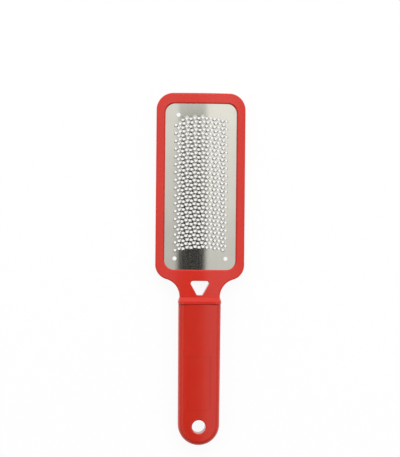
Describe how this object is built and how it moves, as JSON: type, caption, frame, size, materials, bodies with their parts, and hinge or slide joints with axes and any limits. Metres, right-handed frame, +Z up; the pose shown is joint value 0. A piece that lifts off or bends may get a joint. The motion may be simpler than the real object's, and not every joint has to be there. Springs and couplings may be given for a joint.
{
  "type": "foot file",
  "caption": "Foot file: a bowed stainless rasp plate with raised pierced teeth, clamped in a red moulded head with a slotted neck, and a slide-on grip with a hang hole.",
  "frame": {"origin": "on the surface that the tool lies on, under the middle of its length and width", "axes": "+X across the head, +Y along the tool towards the tip of its head, +Z up out of the rasp face"},
  "size_m": [0.066, 0.26, 0.0133],
  "materials": {
    "frame_plastic": "gloss moulded",
    "grip_plastic": "gloss moulded",
    "stainless_sheet": "rolled and pierced"
  },
  "bodies": {
    "back": {"back_frame": "frame_plastic"},
    "frame": {"main_frame": "frame_plastic"},
    "plate": {"rasp_plate": "stainless_sheet"},
    "handle": {"handle_sleeve": "grip_plastic"}
  },
  "joints": [
    {"name": "frame_lift", "type": "slide", "parent": "back", "child": "frame", "axis": [0, 0, 1], "range_m": [0, 0.03]},
    {"name": "plate_lift", "type": "slide", "parent": "back", "child": "plate", "axis": [0, 0, 1], "range_m": [0, 0.015]},
    {"name": "sleeve_pull", "type": "slide", "parent": "frame", "child": "handle", "axis": [0, -1, 0], "range_m": [0, 0.09]}
  ],
  "couplings": [
    {"joint": "plate_lift", "follows": "frame_lift", "ratio": 0.5}
  ]
}
